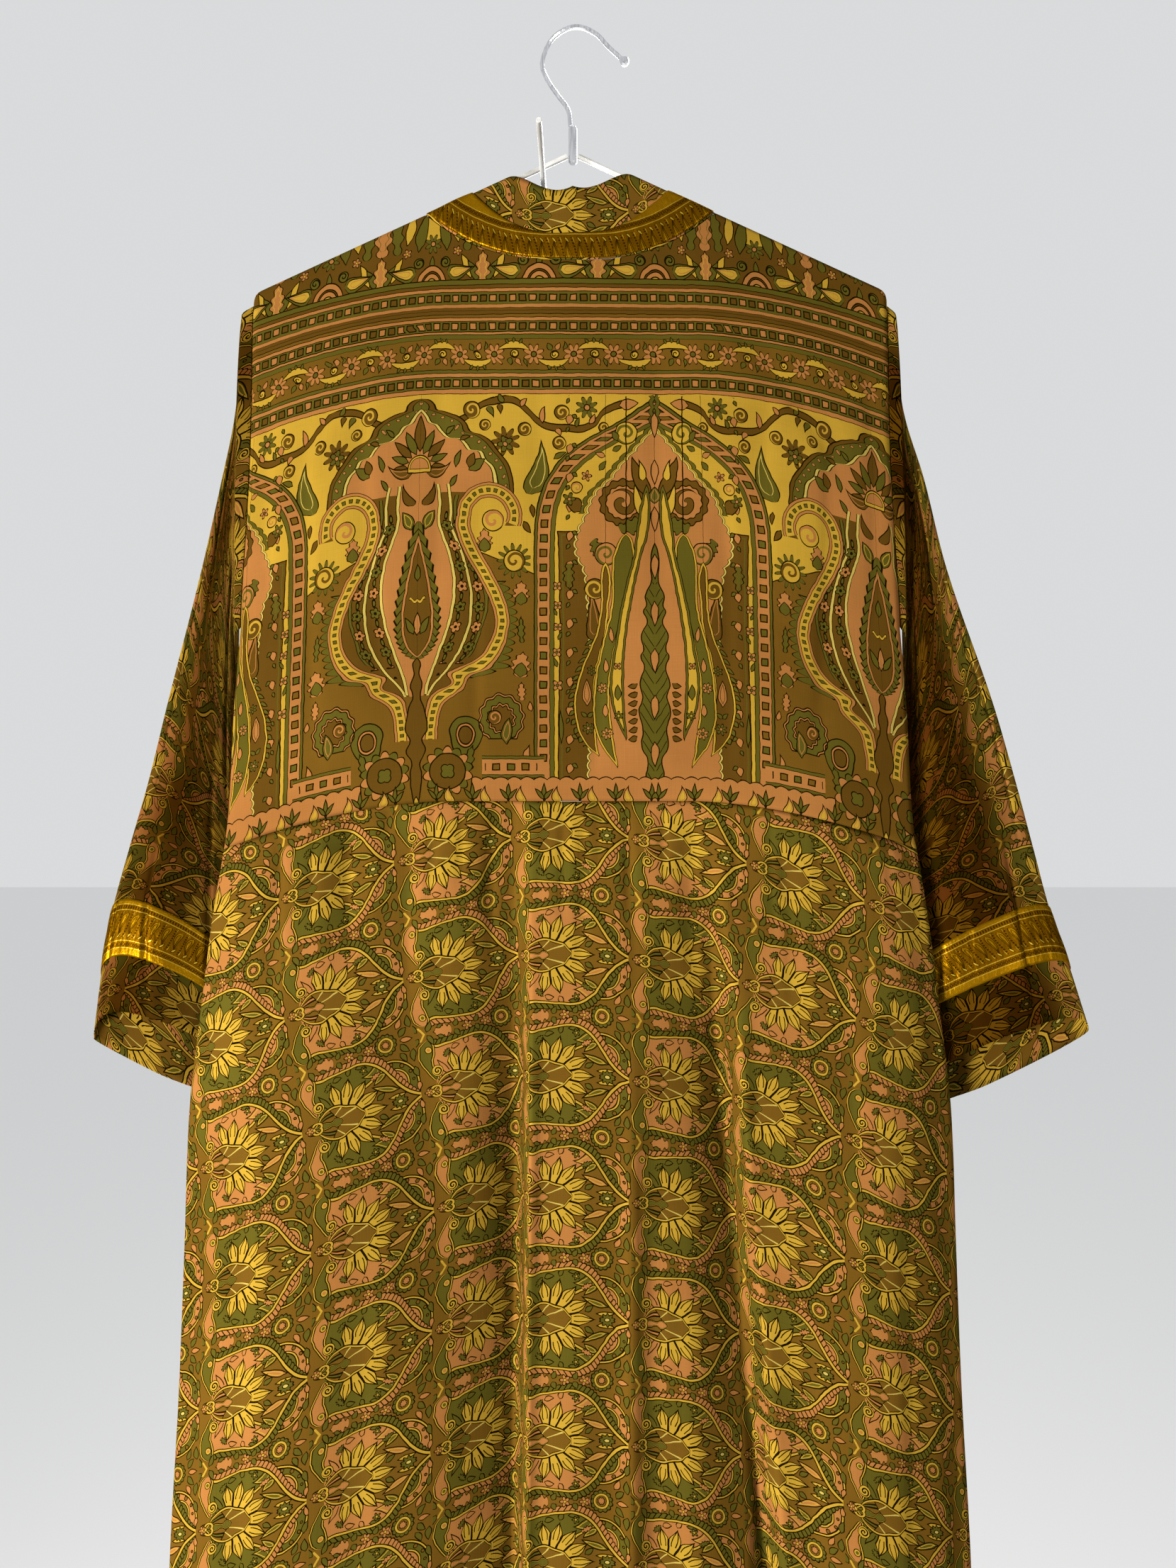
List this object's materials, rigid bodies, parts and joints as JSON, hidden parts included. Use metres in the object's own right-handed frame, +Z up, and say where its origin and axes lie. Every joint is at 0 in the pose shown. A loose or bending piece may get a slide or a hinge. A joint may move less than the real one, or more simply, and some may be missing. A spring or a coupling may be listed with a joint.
{
  "type": "kimono robe on a wire hanger and wall peg",
  "caption": "Long kimono-cut robe of brown and gold paisley-printed silk with wide sleeves and woven gold borders, hung back outwards on a white wire hanger and a wall peg.",
  "frame": {"origin": "root of the wall peg, on the wall's face", "axes": "+Z up, +Y into the wall, +X to the viewer's right, so that the viewer looks along +Y at the robe's back"},
  "size_m": [0.743, 0.099, 1.412],
  "materials": {
    "print_silk": "satin printed silk",
    "gold_border": "woven metallic thread",
    "white_coating": "semi-gloss",
    "chrome": "polished wire",
    "white_paint": "satin paint"
  },
  "bodies": {
    "root": {"back_yoke": "print_silk", "back_skirt": "print_silk", "front_left": "print_silk", "front_right": "print_silk", "sleeve_left": "print_silk", "sleeve_right": "print_silk", "neck_band": "print_silk", "front_band_left": "print_silk", "front_band_right": "print_silk", "cuff_border_left": "gold_border", "cuff_border_right": "gold_border", "neck_border": "gold_border", "front_border_left": "gold_border", "front_border_right": "gold_border", "hanger_frame": "white_coating", "hanger_neck": "white_coating", "hanger_hook": "chrome", "wall_peg": "white_paint"}
  },
  "joints": []
}
